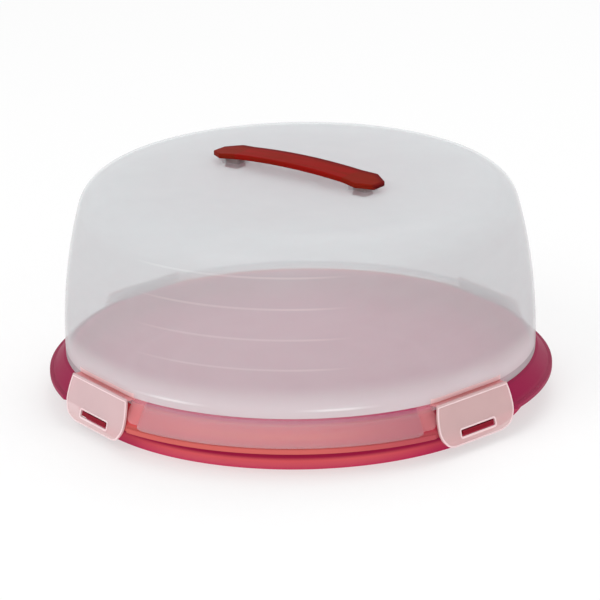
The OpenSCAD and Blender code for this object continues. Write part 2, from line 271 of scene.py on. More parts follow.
flat_side = 1.5 * mm
hinge_out = 5.7 * mm
hinge_up = 4.7 * mm
seat_gap = 0.5 * mm
seat_half_w = latch_w / 2 + latch_bulge + 2 * latch_side_gap
slope_foot_r = rim_r - rim_ledge_w
crest_r = slope_foot_r - (crest_z - rim_top_z) * math.tan(slope_a)
lid_r = crest_r - lid_set_in
flat_half_w = latch_w / 2 + flat_side
flat_foot_x = math.sqrt(lid_r ** 2 - flat_half_w ** 2)
hinge_x = flat_foot_x + hinge_out
hinge_z = crest_z + hinge_up
seat_drop = latch_t / 2 + seat_gap


def slope_at(z):
    """Radius of the tray's slope at height z."""
    return slope_foot_r - (z - rim_top_z) * math.tan(slope_a)


def rounded(outline, radius, steps=4):
    """A closed outline of (x, z, inset) points, with each corner turned into a small arc."""
    smooth = []
    count = len(outline)
    for index, (x, z, inset) in enumerate(outline):
        here = Vector((x, z))
        back = Vector(outline[index - 1][:2]) - here
        on = Vector(outline[(index + 1) % count][:2]) - here
        angle = back.angle(on)
        if angle > math.radians(165):
            smooth.append((x, z, inset))
            continue
        reach = min(radius / math.tan(angle / 2), 0.45 * back.length, 0.45 * on.length)
        size = reach * math.tan(angle / 2)
        middle = here + (back.normalized() + on.normalized()).normalized() * size / math.sin(angle / 2)
        start = here + back.normalized() * reach - middle
        turn = start.angle_signed(here + on.normalized() * reach - middle)
        for step in range(steps + 1):
            point = middle + Matrix.Rotation(-turn * step / steps, 2) @ start
            smooth.append((point.x, point.y, inset))
    return smooth


def arc_points(x, z, radius, start, end, steps):
    """Points along an arc round (x, z), from one angle to another, both in radians."""
    angles = [start + (end - start) * step / steps for step in range(steps + 1)]
    return [(x + radius * math.cos(a), z + radius * math.sin(a)) for a in angles]


def lathe_tree():
    """Geometry nodes that turn a closed outline round Z and press in a flat under each latch.

    Each point of the outline carries an inset: how deep behind the flat's plane it stops.
    """
    tree = bpy.data.node_groups.new("turned_with_flats", "GeometryNodeTree")
    graph = Graph(tree)
    tree.interface.new_socket("Outline", in_out="INPUT", socket_type="NodeSocketGeometry")
    for name in ("Steps", "Points"):
        tree.interface.new_socket(name, in_out="INPUT", socket_type="NodeSocketInt")
    for name in ("Flat x", "Flat z", "Flat run", "Flat half width", "Softness"):
        tree.interface.new_socket(name, in_out="INPUT", socket_type="NodeSocketFloat")
    tree.interface.new_socket("Material", in_out="INPUT", socket_type="NodeSocketMaterial")
    tree.interface.new_socket("Mesh", in_out="OUTPUT", socket_type="NodeSocketGeometry")

    def given(name):
        return graph.node("NodeGroupInput", out=name)

    sheet = graph.node("GeometryNodeMeshGrid", None, {
        "Size X": 1.0, "Size Y": 1.0,
        "Vertices X": given("Steps") + 1, "Vertices Y": given("Points") + 1}, "Mesh")
    across, along, _ = graph.split(graph.node("GeometryNodeInputPosition"))
    turn = (across + 0.5) * math.tau
    index = graph.math("ROUND", (along + 0.5) * given("Points")) % given("Points")
    point = graph.node("GeometryNodeSampleIndex", {"data_type": "FLOAT_VECTOR"}, {
        "Geometry": given("Outline"), "Value": graph.node("GeometryNodeInputPosition"),
        "Index": index})
    inset = graph.node("GeometryNodeSampleIndex", {"data_type": "FLOAT"}, {
        "Geometry": given("Outline"), "Index": index,
        "Value": graph.node("GeometryNodeInputNamedAttribute", {"data_type": "FLOAT"},
                            {"Name": "inset"})})
    radius, _, z = graph.split(point)
    x = radius * graph.math("COSINE", turn)
    y = radius * graph.math("SINE", turn)
    outward = abs(x) * math.sin(latch_a) + abs(y) * math.cos(latch_a)
    aside = abs(abs(x) * math.cos(latch_a) - abs(y) * math.sin(latch_a))
    plane = given("Flat x") + (z - given("Flat z")) * given("Flat run") - inset
    held = graph.node("ShaderNodeMath", {"operation": "SMOOTH_MIN"},
                      {0: outward, 1: plane, 2: given("Softness")})
    near = graph.math("LESS_THAN", aside, given("Flat half width"))
    pull = 1 - near * (1 - held / graph.math("MAXIMUM", outward, 1e-6))
    place = graph.node("ShaderNodeCombineXYZ", None, {"X": x * pull, "Y": y * pull, "Z": z})
    shaped = graph.node("GeometryNodeSetPosition", None, {"Geometry": sheet, "Position": place})
    closed = graph.node("GeometryNodeMergeByDistance", None,
                        {"Geometry": shaped, "Distance": 0.01 * mm})
    smooth = graph.node("GeometryNodeSetShadeSmooth", None, {"Geometry": closed})
    whole = graph.node("GeometryNodeRealizeInstances", None, {"Geometry": smooth})
    coated = graph.node("GeometryNodeSetMaterial", None,
                        {"Geometry": whole, "Material": given("Material")})
    graph.node("NodeGroupOutput", None, {"Mesh": coated})
    return tree


def run_tree(name, base_mesh, tree, values):
    """Runs a geometry node tree on a mesh and gives the plain mesh that comes out."""
    holder = bpy.data.objects.new(name, base_mesh)
    bpy.context.scene.collection.objects.link(holder)
    modifier = holder.modifiers.new("shape", "NODES")
    modifier.node_group = tree
    for item in tree.interface.items_tree:
        if item.item_type == "SOCKET" and item.in_out == "INPUT" and item.name in values:
            modifier[item.identifier] = values[item.name]
    holder.update_tag()
    evaluated = holder.evaluated_get(bpy.context.evaluated_depsgraph_get())
    made = bpy.data.meshes.new_from_object(evaluated)
    bpy.data.objects.remove(holder)
    made.name = name
    return made


def settle(mesh, sharp_over=32):
    """Closes a mesh's seams, turns its faces outward and keeps only its real corners sharp."""
    work = bmesh.new()
    work.from_mesh(mesh)
    bmesh.ops.remove_doubles(work, verts=work.verts, dist=0.005 * mm)
    bmesh.ops.dissolve_degenerate(work, edges=work.edges, dist=0.001 * mm)
    bmesh.ops.recalc_face_normals(work, faces=work.faces)
    work.to_mesh(mesh)
    work.free()
    mesh.shade_smooth()
    mesh.set_sharp_from_angle(angle=math.radians(sharp_over))
    return mesh


def turned(name, outline, material, flat, steps=360, softness=0.0):
    """A mesh turned from a closed outline of (x, z, inset) points. Flat is (x, z, run, half width)."""
    base = bpy.data.meshes.new(name + "_outline")
    base.from_pydata([(x, 0, z) for x, z, _ in outline], [], [])
    base.attributes.new("inset", "FLOAT", "POINT").data.foreach_set("value", [p[2] for p in outline])
    return settle(run_tree(name, base, turning, {
        "Steps": steps, "Points": len(outline), "Flat x": flat[0], "Flat z": flat[1],
        "Flat run": flat[2], "Flat half width": flat[3], "Softness": softness,
        "Material": material}))


def place_piece(name, mesh, body, slot, *nodes):
    """Puts a finished mesh in the scene, on its body, in place of its CAD nodes."""
    piece = bpy.data.objects.new(name, mesh)
    bpy.context.scene.collection.objects.link(piece)
    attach(piece, body)
    if nodes:
        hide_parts(*nodes)


def fine_grain(graph, where, scale, height):
    """The faint orange-peel of a moulded face, as a normal."""
    grain = graph.node("ShaderNodeTexNoise", None,
                       {"Vector": where, "Scale": scale, "Detail": 3.0, "Roughness": 0.55})
    return graph.node("ShaderNodeBump", None, {"Strength": 1.0, "Distance": height, "Height": grain})


slope_magenta = paint(147, 26, 70)
floor_magenta = paint(194, 31, 97)
slope_shade = paint(150, 34, 70)
skirted_lit_red = paint(214, 80, 82)
slope_lit_orange = paint(230, 112, 78)
rim_lit_red = paint(202, 98, 92)
rim_shade_magenta = paint(150, 44, 78)
foot_red = paint(246, 130, 106)
foot_side_shade = paint(186, 42, 62)
foot_lit_orange = paint(255, 172, 142)
shade_and_mottle_red = paint(134, 22, 46)
catch_shade_maroon = paint(128, 18, 34)
ring_highlight_pink = paint(214, 96, 134)
slope_middle_z = 26.5 * mm

tray_material, graph = new_material("tray_plastic")
where = graph.node("ShaderNodeTexCoord", out="Object")
x, y, z = graph.split(where)
radius = graph.math("SQRT", x * x + y * y)
# The slope's colour is painted light and shade: a lighter, warmer red under the skirts at the front
# and the back, warmest halfway up, against darker magenta at both sides, and painted shade to the right.
front_back = graph.between(abs(y) - abs(x) * math.tan(latch_a), -40 * mm, 30 * mm)
to_right = graph.between(x, 10 * mm, 110 * mm)
warm = graph.between(abs(z - slope_middle_z), 3.5 * mm, 0.5 * mm)
warm = warm * graph.between(abs(x), 110 * mm, 20 * mm)
colour = graph.blend(warm * 0.4, skirted_lit_red, slope_lit_orange)
colour = graph.blend(to_right * 0.6, colour, slope_shade)
colour = graph.blend(front_back, slope_magenta, colour)
# Painted light on the rim too: lit orange-red at the front and the back, shaded magenta at both sides
# and towards the right.
on_rim = graph.between(radius, slope_foot_r - 2 * mm, slope_foot_r)
rim_colour = graph.blend(to_right * 0.5, rim_lit_red, rim_shade_magenta)
colour = graph.blend(on_rim, colour, graph.blend(front_back, rim_shade_magenta, rim_colour))
# The foot is painted with light: brighter and more orange than the slope, lightest near the table
# as light thrown up from it, and with painted shade towards both sides and in the recess under the rim.
on_foot = graph.between(z, rim_z - 0.2 * mm, rim_z - 1.5 * mm)
table_light_on_foot = graph.between(z, 7 * mm, 0.5 * mm) * (1 - to_right * 0.8)
foot_colour = graph.blend(table_light_on_foot, foot_red, foot_lit_orange)
to_sides = graph.between(abs(x), 50 * mm, 140 * mm)
foot_colour = graph.blend(to_sides * 0.8, foot_colour, foot_side_shade)
colour = graph.blend(on_foot, colour, foot_colour)
shaded = graph.between(z, 5.8 * mm, 9 * mm)
shaded = shaded * graph.between(radius, foot_r - 2 * mm, foot_r)
colour = graph.blend(shaded * on_foot, colour, shade_and_mottle_red)
# Painted shade: the catches, of the tray's own plastic, are painted dark maroon, as shade in the slots.
on_catch = on_foot * graph.between(radius, crest_foot_r + 1 * mm, crest_foot_r + 2 * mm)
colour = graph.blend(on_catch, colour, catch_shade_maroon)
# Inside the crest lies the cake floor, with a painted highlight, a paler line, on each of its rings.
inside = graph.between(radius, crest_foot_r, crest_foot_r - 1 * mm)
colour = graph.blend(inside, colour, floor_magenta)
ring_wave = abs((radius - ring_rs[0] + ring_step / 2) % ring_step - ring_step / 2 - ring_w / 2)
on_ring = graph.between(ring_wave, ring_w * 0.85, ring_w * 0.5)
on_ring = on_ring * graph.between(radius, ring_rs[0] - 3 * mm, ring_rs[0] - 2 * mm)
on_ring = on_ring * graph.between(radius, ring_rs[2] + 8 * mm, ring_rs[2] + 5 * mm)
colour = graph.blend(on_ring, colour, ring_highlight_pink)
cloud = graph.node("ShaderNodeTexNoise", None, {"Vector": where, "Scale": 26.0, "Detail": 2.0})
colour = graph.blend(cloud * 0.16, colour, shade_and_mottle_red)
surface = graph.node("ShaderNodeBsdfPrincipled", None, {
    "Base Color": colour, "Roughness": 0.42 + cloud * 0.12, "IOR": 1.49,
    "Specular IOR Level": 0.06, "Normal": fine_grain(graph, where, 900.0, 0.01 * mm)})
graph.node("ShaderNodeOutputMaterial", None, {"Surface": surface})

turning = lathe_tree()
none = -1.0
fillet_x = crest_foot_r - tray_t - cake_floor_fillet_r
flange_in = tray_t / math.cos(slope_a)
seat_in = tray_t / math.cos(latch_lean)
crest_bevel = 1.2 * mm
crest_draft = 0.1 * mm
pole_r = 0.01 * mm
tray_outline = [
    (foot_r, 0, none), (crest_foot_r, rim_z, none),
    (crest_foot_r + crest_draft, crest_z - tray_t, seat_in),
    (slope_at(crest_z - tray_t) - flange_in, crest_z - tray_t, seat_in),
    (slope_at(rim_z) - flange_in, rim_z, seat_in),
    (rim_r, rim_z, 0), (rim_r, rim_top_z, 0), (slope_foot_r, rim_top_z, 0),
    (crest_r + crest_bevel * math.tan(slope_a), crest_z - crest_bevel, 0),
    (crest_r - crest_bevel, crest_z, 0),
    (crest_foot_r - tray_t, crest_z, none),
]
tray_outline += [(px, pz, none) for px, pz in arc_points(
    fillet_x, cake_floor_z + cake_floor_fillet_r, cake_floor_fillet_r, 0, -math.pi / 2, 10)]
for ring_r in reversed(ring_rs):
    tray_outline += [
        (ring_r + ring_w, cake_floor_z, none), (ring_r + ring_w * 0.7, cake_floor_z + ring_h, none),
        (ring_r + ring_w * 0.3, cake_floor_z + ring_h, none), (ring_r, cake_floor_z, none)]
tray_outline += [
    (pole_r, cake_floor_z, none), (pole_r, cake_floor_z - tray_t, none),
    (foot_r - tray_t, cake_floor_z - tray_t, none), (foot_r - tray_t, 0, none)]

rib_h = 5 * mm
rib_root = 0.6 * mm
rib_t = 1.6 * mm
rib_low_z = cake_floor_z - tray_t - rib_h
rib_high_z = cake_floor_z - tray_t + rib_root
hub_r = 34 * mm
spokes = 12


def round_tree():
    """Geometry nodes that repeat a piece in a ring round Z."""
    tree = bpy.data.node_groups.new("round_z", "GeometryNodeTree")
    graph = Graph(tree)
    tree.interface.new_socket("Piece", in_out="INPUT", socket_type="NodeSocketGeometry")
    tree.interface.new_socket("Count", in_out="INPUT", socket_type="NodeSocketInt")
    tree.interface.new_socket("Material", in_out="INPUT", socket_type="NodeSocketMaterial")
    tree.interface.new_socket("Mesh", in_out="OUTPUT", socket_type="NodeSocketGeometry")
    count = graph.node("NodeGroupInput", out="Count")
    spots = graph.node("GeometryNodeMeshLine", None, {"Count": count, "Offset": (0, 0, 0)})
    turn = graph.node("ShaderNodeCombineXYZ", None, {
        "Z": graph.node("GeometryNodeInputIndex") * math.tau / count})
    copies = graph.node("GeometryNodeInstanceOnPoints", None, {
        "Points": spots, "Instance": graph.node("NodeGroupInput", out="Piece"), "Rotation": turn})
    whole = graph.node("GeometryNodeRealizeInstances", None, {"Geometry": copies})
    coated = graph.node("GeometryNodeSetMaterial", None, {
        "Geometry": whole, "Material": graph.node("NodeGroupInput", out="Material")})
    graph.node("NodeGroupOutput", None, {"Mesh": coated})
    return tree


spoke = bpy.data.meshes.new("spoke")
spoke_start = hub_r - rib_t / 2
spoke_end = foot_r - tray_t / 2
spoke.from_pydata([(px, py, pz) for px in (spoke_start, spoke_end) for py in (-rib_t / 2, rib_t / 2)
                   for pz in (rib_low_z, rib_high_z)], [],
                  [(0, 1, 3, 2), (4, 6, 7, 5), (0, 4, 5, 1), (2, 3, 7, 6), (0, 2, 6, 4), (1, 5, 7, 3)])
ribs = run_tree("tray_ribs", spoke, round_tree(), {"Count": spokes, "Material": tray_material})
place_piece("tray_ribs", settle(ribs), "tray", "tray_plastic")
hub_outline = [(hub_r - rib_t, rib_low_z, none), (hub_r, rib_low_z, none),
               (hub_r, rib_high_z, none), (hub_r - rib_t, rib_high_z, none)]
hub = turned("tray_hub", rounded(hub_outline, 0.3 * mm), tray_material, (0, 0, 0, 0), 120)
place_piece("tray_hub", hub, "tray", "tray_plastic")

seat_x = hinge_x - seat_drop / math.cos(latch_lean)
seat_flat = (seat_x, hinge_z, -math.tan(latch_lean), seat_half_w)
tray_edge_r = 0.5 * mm
tray_mesh = turned("tray", rounded(tray_outline, tray_edge_r), tray_material, seat_flat, 480)
place_piece("tray_shell", tray_mesh, "tray", "tray_plastic", "tray")


# Lid. One moulding in milky clear polypropylene: a drum with a round shoulder and a nearly flat crown,
# leaning flats above the latches, and a skirt over the tray's slope at the front and the back. It
# stands on the tray's crest and carries the latches on thin shelves.
lid_top_z = 155 * mm
crown_rise = 0.8 * mm
shoulder_r = 26 * mm
wall_bow_r = 350 * mm
wall_bow_z = 45 * mm
lid_t = 1.6 * mm
lid_gap = 0.3 * mm
lid_foot_z = crest_z + lid_gap
flat_top_z = 54 * mm
flat_reach = 60 * mm
flat_softness = 1.0 * mm
shoulder_z = lid_top_z - crown_rise - shoulder_r
bow_x = lid_r - wall_bow_r
shoulder_a = math.asin((shoulder_z - wall_bow_z) / (wall_bow_r - shoulder_r))
shoulder_x = bow_x + (wall_bow_r - shoulder_r) * math.cos(shoulder_a)
crown_h = shoulder_r + crown_rise
crown_r = (shoulder_x ** 2 + crown_h ** 2 - shoulder_r ** 2) / (2 * crown_rise)
crown_a = math.atan2(crown_r - crown_h, shoulder_x)
flat_sag = lid_r - flat_foot_x
top_sag = wall_bow_r - math.sqrt(wall_bow_r ** 2 - (flat_top_z - wall_bow_z) ** 2)
flat_run = (flat_sag - top_sag) / (flat_top_z - lid_foot_z)
skirt_half_a = math.radians(33.5)
return_behind = 3 * mm
return_end_a = latch_a - math.asin((latch_w / 2 + latch_bulge - return_behind) / hinge_x)

frosted_wall = paint(221, 227, 228)
frosted_crown_lit = paint(230, 240, 241)
skirt_tint = paint(230, 214, 222)
return_pink = paint(246, 182, 186)
shelf_salmon = paint(236, 156, 156)
highlight_and_line_white = paint(255, 255, 255)
line_step = 20 * mm
glint_z = 43 * mm
glint_left_x = -73 * mm
glint_right_x = 40 * mm
glint_half_l = 32 * mm
lid_opacity = 0.40
milk_share = 0.42

lid_material, graph = new_material("lid_plastic")
where = graph.node("ShaderNodeTexCoord", out="Object")
x, y, z = graph.split(where)
radius = graph.math("SQRT", x * x + y * y)
# Masks: the shelves over the folds, the returns beside the latches, and the skirts that lie low.
under = graph.between(z, hinge_z + 1.2 * mm, hinge_z + 0.5 * mm)
off_wall = graph.between(radius, lid_r + 0.2 * mm, lid_r + 0.6 * mm)
outward = abs(x) * math.sin(latch_a) + abs(y) * math.cos(latch_a)
shelf = graph.between(outward, flat_foot_x - 2 * mm, flat_foot_x - 1 * mm)
shelf = shelf * graph.between(abs(z - hinge_z - 1.6 * mm), 2.8 * mm, 2.2 * mm)
shelf = shelf * graph.between(abs(abs(x) * math.cos(latch_a) - abs(y) * math.sin(latch_a)),
                              latch_w / 2 + 0.6 * mm, latch_w / 2)
in_front = graph.between(y, 0, -20 * mm)
shelf = shelf * in_front
beside = graph.between(abs(x) * math.cos(skirt_half_a) - abs(y) * math.sin(skirt_half_a),
                       -0.4 * mm, 0.6 * mm)
skirted = graph.between(abs(x) * math.cos(return_end_a) - abs(y) * math.sin(return_end_a),
                        1 * mm, -1 * mm) * in_front
hidden = under * (1 - off_wall) * skirted
low = graph.math("MAXIMUM", under * off_wall, hidden)
# The front wall carries a painted sheen, paler towards its foot, faint level lines, and two painted
# glints low down.
foot_sheen = graph.between(z, 62 * mm, 41 * mm) * (1 - under) * in_front
line = abs((z - 61 * mm) % line_step - line_step / 2)
line = graph.between(line, 0.9 * mm, 0.3 * mm) * graph.between(abs(x + 24 * mm), 78 * mm, 40 * mm)
line = line * graph.between(z, 60 * mm, 64 * mm) * graph.between(z, 140 * mm, 136 * mm)
glint = graph.between(abs(x - glint_left_x), glint_half_l, 2 * mm)
glint = glint + graph.between(abs(x - glint_right_x), glint_half_l, 2 * mm)
glint = glint * graph.between(abs(z - glint_z), 1.3 * mm, 0.3 * mm)
bright = in_front * graph.math("MAXIMUM", line * 0.16, glint * 0.8)
stretched = graph.vector("MULTIPLY", where, (1.0, 1.0, 3.0))
haze = graph.node("ShaderNodeTexNoise", None, {"Vector": stretched, "Scale": 22.0, "Detail": 4.0})
# Painted light: the crown is lighter than the wall below it.
colour = graph.blend(graph.between(z, 126 * mm, 150 * mm), frosted_wall, frosted_crown_lit)
colour = graph.blend(low, colour, skirt_tint)
colour = graph.blend(shelf * 0.9, colour, shelf_salmon)
colour = graph.blend(graph.math("MAXIMUM", bright, foot_sheen * 0.5), colour, highlight_and_line_white)
pink = graph.math("MAXIMUM", low * beside, hidden * 0.6)
colour = graph.blend(pink, colour, return_pink)
# Milky all over, clearer where the skirts lie close over the red tray.
to_right = graph.between(x, 10 * mm, 110 * mm)
opacity = lid_opacity + (haze - 0.5) * 0.05 + foot_sheen * 0.16 + bright * 0.3
opacity = opacity - low * (0.12 + to_right * 0.1) - hidden * 0.18
opacity = opacity + low * beside * 0.12 + shelf * 0.4
grain = fine_grain(graph, where, 420.0, 0.012 * mm)
through = opacity * milk_share
face = graph.node("ShaderNodeBsdfPrincipled", None, {
    "Base Color": colour, "Roughness": 0.32 + haze * 0.1, "IOR": 1.49,
    "Alpha": (opacity - through) / (1 - through), "Normal": grain})
milk = graph.node("ShaderNodeBsdfTranslucent", None, {"Color": colour, "Normal": grain})
surface = graph.node("ShaderNodeMixShader", None, {0: through, 1: face, 2: milk})
graph.node("ShaderNodeOutputMaterial", None, {"Surface": surface})

lid_foot_a = (lid_foot_z - wall_bow_z) / wall_bow_r
pole_a = math.pi / 2 - 1e-5


def dome_side(depth):
    """The dome's three arcs from its foot to its pole, at a depth under its outer face."""
    side = arc_points(bow_x, wall_bow_z, wall_bow_r - depth, lid_foot_a, shoulder_a, 20)
    side += arc_points(shoulder_x, shoulder_z, shoulder_r - depth, shoulder_a, crown_a, 18)[1:]
    side += arc_points(0, lid_top_z - crown_r, crown_r - depth, crown_a, pole_a, 16)[1:]
    return [(px, pz, depth) for px, pz in side]


lid_outline = dome_side(0) + dome_side(lid_t)[::-1]
lid_flat = (flat_foot_x, lid_foot_z, flat_run, flat_reach)
lid_mesh = turned("lid", lid_outline, lid_material, lid_flat, 360, flat_softness)
place_piece("lid_dome", lid_mesh, "lid", "lid_plastic", "lid")

skirt_gap = 0.6 * mm
skirt_band_h = 4 * mm
skirt_band_t = 0.4 * mm
skirt_corner_r = 3.5 * mm
return_step = 0.7 * mm
return_gap = 0.4 * mm
return_up = 2 * mm
return_corner_r = 6 * mm
skirt_edge_z = rim_top_z + skirt_gap
skirt_wall_x = lid_r - lid_t / 2
skirt_rows = 22
skirt_edge_backs = {skirt_rows: 0.6 * mm, skirt_rows - 1: 0.15 * mm}
skirt_inner_h = 4 * mm


def ease(value, start, end):
    """0 at start, 1 at end, and smooth in between."""
    part = min(max((value - start) / (end - start), 0), 1)
    return part * part * (3 - 2 * part)


def corner_rise(distance, radius):
    """How far a round corner has risen, at a distance from its end."""
    inside = max(radius - distance, 0)
    return radius - math.sqrt(radius ** 2 - inside ** 2)


def skirt_section(angle):
    """The closed section of the skirt and its returns at an angle from the front, as (x, z)."""
    off_skirt = (abs(angle) - skirt_half_a) * skirt_wall_x
    to_end = (return_end_a - abs(angle)) * skirt_wall_x
    low_z = skirt_edge_z + ease(off_skirt, -1 * mm, 0) * return_up
    low_z += corner_rise(to_end, return_corner_r)

    def outer_r(z, edge_back):
        """Radius of the outer face at height z, with the edge's own rounding."""
        up = z - skirt_edge_z
        dropped = ease(off_skirt + corner_rise(up, skirt_corner_r), -0.5 * mm, 0.7 * mm)
        band = (1 - ease(up, skirt_band_h - 0.4 * mm, skirt_band_h)) * (1 - dropped)
        out = skirt_gap + lid_t - return_step * dropped - edge_back
        return slope_at(z) + out / math.cos(slope_a) + skirt_band_t * band

    top_z = rim_top_z + (slope_foot_r + (skirt_gap + lid_t) / math.cos(slope_a)
                         - skirt_wall_x) / math.tan(slope_a)
    gap = return_gap / math.cos(slope_a)
    section = []
    for row in range(skirt_rows + 1):
        z = top_z + (low_z - top_z) * row / skirt_rows
        section.append((outer_r(z, skirt_edge_backs.get(row, 0)), z))
    for z in (low_z, low_z + skirt_inner_h):
        section.append((slope_at(z) + gap, z))
    section.append((skirt_wall_x, top_z - (lid_t + skirt_gap - return_gap) / math.sin(slope_a)))
    return section


def loft(rings):
    """A closed mesh through rings of as many points each, with both ends filled."""
    work = bmesh.new()
    rows = [[work.verts.new(point) for point in ring] for ring in rings]
    count = len(rings[0])
    for one, two in zip(rows, rows[1:]):
        for index in range(count):
            following = (index + 1) % count
            work.faces.new((one[index], one[following], two[following], two[index]))
    work.faces.new(rows[0])
    work.faces.new(rows[-1])
    mesh = bpy.data.meshes.new("loft")
    work.to_mesh(mesh)
    work.free()
    return mesh


def joined(name, meshes, material, sharp_over=32):
    """One mesh out of several, each already in its place."""
    work = bmesh.new()
    for mesh in meshes:
        work.from_mesh(mesh)
    whole = bpy.data.meshes.new(name)
    work.to_mesh(whole)
    work.free()
    whole.materials.append(material)
    return settle(whole, sharp_over)


def skirt_mesh(middle, columns=220):
    """A skirt with its two returns, centred on an angle round Z."""
    rings = []
    for column in range(columns + 1):
        angle = return_end_a * (2 * column / columns - 1)
        turn = middle + angle
        rings.append([(px * math.cos(turn), px * math.sin(turn), pz) for px, pz in skirt_section(angle)])
    return loft(rings)


def rounded_outline(length, width, corner, steps=6):
    """Points of a rectangle with round corners, centred."""
    points = []
    for quarter, (sx, sy) in enumerate([(1, 1), (-1, 1), (-1, -1), (1, -1)]):
        points += arc_points(sx * (length / 2 - corner), sy * (width / 2 - corner), corner,
                             quarter * math.pi / 2, (quarter + 1) * math.pi / 2, steps)
    return points


def slab(outline, low, high, edge, steps=4):
    """A plate from low to high over a convex outline, with rounded edges."""
    count = len(outline)
    normals = []
    for index in range(count):
        run = Vector(outline[(index + 1) % count]) - Vector(outline[index - 1])
        normals.append(Vector((run.y, -run.x)).normalized())
    rings = []
    for middle, start in ((low + edge, -math.pi / 2), (high - edge, 0)):
        for step in range(steps + 1):
            angle = start + math.pi / 2 * step / steps
            back = edge * (1 - math.cos(angle))
            rings.append([(px - n.x * back, py - n.y * back, middle + edge * math.sin(angle))
                          for (px, py), n in zip(outline, normals)])
    return loft(rings)


def moved(mesh, *matrices):
    """The mesh, moved by each matrix in turn."""
    for matrix in matrices:
        mesh.transform(matrix)
    return mesh


on_hinge = Matrix.Translation((hinge_x, 0, hinge_z)) @ Matrix.Rotation(-latch_lean, 4, "Y")


def latch_tree():
    """Geometry nodes that repeat a piece, made at local +X, at each of the four latches."""
    tree = bpy.data.node_groups.new("at_each_latch", "GeometryNodeTree")
    graph = Graph(tree)
    tree.interface.new_socket("Piece", in_out="INPUT", socket_type="NodeSocketGeometry")
    tree.interface.new_socket("Latch angle", in_out="INPUT", socket_type="NodeSocketFloat")
    tree.interface.new_socket("Material", in_out="INPUT", socket_type="NodeSocketMaterial")
    tree.interface.new_socket("Mesh", in_out="OUTPUT", socket_type="NodeSocketGeometry")
    spots = graph.node("GeometryNodeMeshLine", None, {"Count": 4, "Offset": (0, 0, 0)})
    index = graph.node("GeometryNodeInputIndex")
    half = graph.math("FLOOR", index / 2)
    side = (index % 2) * 2 - 1
    given = graph.node("NodeGroupInput", out="Latch angle")
    turn = graph.node("ShaderNodeCombineXYZ", None, {
        "Z": half * math.pi - math.pi / 2 + side * given})
    copies = graph.node("GeometryNodeInstanceOnPoints", None, {
        "Points": spots, "Instance": graph.node("NodeGroupInput", out="Piece"), "Rotation": turn})
    whole = graph.node("GeometryNodeRealizeInstances", None, {"Geometry": copies})
    coated = graph.node("GeometryNodeSetMaterial", None, {
        "Geometry": whole, "Material": graph.node("NodeGroupInput", out="Material")})
    graph.node("NodeGroupOutput", None, {"Mesh": coated})
    return tree


at_latches = latch_tree()


def at_each_latch(name, mesh, material):
    """A mesh, made at local +X, repeated at the four latches."""
    return run_tree(name, mesh, at_latches, {"Latch angle": latch_a, "Material": material})


shelf_t = 0.8 * mm
shelf_short = 1.3 * mm
shelf_start = flat_foot_x - lid_t / 2
shelf_end = hinge_x - shelf_short
shelf_plate = slab(rounded_outline(shelf_end - shelf_start, latch_w, 0.3 * mm, 3),
                   hinge_z - shelf_t / 2, hinge_z + shelf_t / 2, 0.2 * mm)
moved(shelf_plate, Matrix.Translation(((shelf_start + shelf_end) / 2, 0, 0)))
shelves = at_each_latch("hinge_shelves", shelf_plate, lid_material)
skirts = [skirt_mesh(-math.pi / 2), skirt_mesh(math.pi / 2)]
lid_edge = joined("lid_skirts", skirts + [shelves], lid_material)
place_piece("lid_skirts", lid_edge, "lid", "lid_plastic")

handle_a = math.radians(57)
handle_l = 142 * mm
leg_in = 15 * mm
leg_x = handle_l / 2 - leg_in
leg_l = 11 * mm
leg_w = 8 * mm
pad_h = 3.2 * mm
pad_top_z = lid_top_z + pad_h
pad_rim = 3 * mm
along_handle = Matrix.Rotation(handle_a - math.pi / 2, 4, "Z")
pads = [moved(slab(rounded_outline(leg_l + 2 * pad_rim, leg_w + 2 * pad_rim, pad_rim),
                   lid_top_z - crown_rise - lid_t / 2, pad_top_z, 0.6 * mm),
              Matrix.Translation((side * leg_x, 0, 0)), along_handle) for side in (-1, 1)]
place_piece("lid_pads", joined("lid_pads", pads, lid_material), "lid", "lid_plastic")


# Latches. Four flaps of the lid's own plastic, each hung on a thin fold, with a raised border, a
# turned-down end and a slot that drops over a catch on the tray. Each is a body of its own.
latch_flap_l = 25 * mm
latch_bend_a = math.radians(25)
latch_inner_r = 3 * mm
latch_bend_r = latch_inner_r + latch_t / 2
latch_tip_l = 4 * mm
latch_corner_r = 15 * mm
slot_l = 32 * mm
slot_h = 4.6 * mm
slot_v = 22.5 * mm
slot_corner_r = 0.9 * mm
hinge_bead_r = 1 * mm
bead_steps = 24
latch_edge_r = 0.35 * mm
border_w = 1.1 * mm
border_step_w = 0.4 * mm
border_step = 0.3 * mm

latch_milky = paint(232, 201, 203)
latch_border = paint(246, 220, 222)
latch_shade = paint(222, 184, 182)

latch_material, graph = new_material("latch_plastic")
where = graph.node("ShaderNodeTexCoord", out="Object")
border = graph.node("ShaderNodeAttribute", {"attribute_name": "border"}, out="Fac")
haze = graph.node("ShaderNodeTexNoise", None, {"Vector": where, "Scale": 30.0, "Detail": 3.0})
x, y, z = graph.split(where)
shade = graph.between(x, 20 * mm, 120 * mm) * 0.7
colour = graph.blend(graph.math("MAXIMUM", shade, graph.between(z, 20 * mm, 8 * mm) * 0.5),
                     latch_milky, latch_shade)
colour = graph.blend(border, colour, latch_border)
surface = graph.node("ShaderNodeBsdfPrincipled", None, {
    "Base Color": colour, "Roughness": 0.3 + haze * 0.1, "IOR": 1.49,
    "Alpha": 0.62 + border * 0.18 + (haze - 0.5) * 0.1,
    "Normal": fine_grain(graph, where, 420.0, 0.012 * mm)})
graph.node("ShaderNodeOutputMaterial", None, {"Surface": surface})


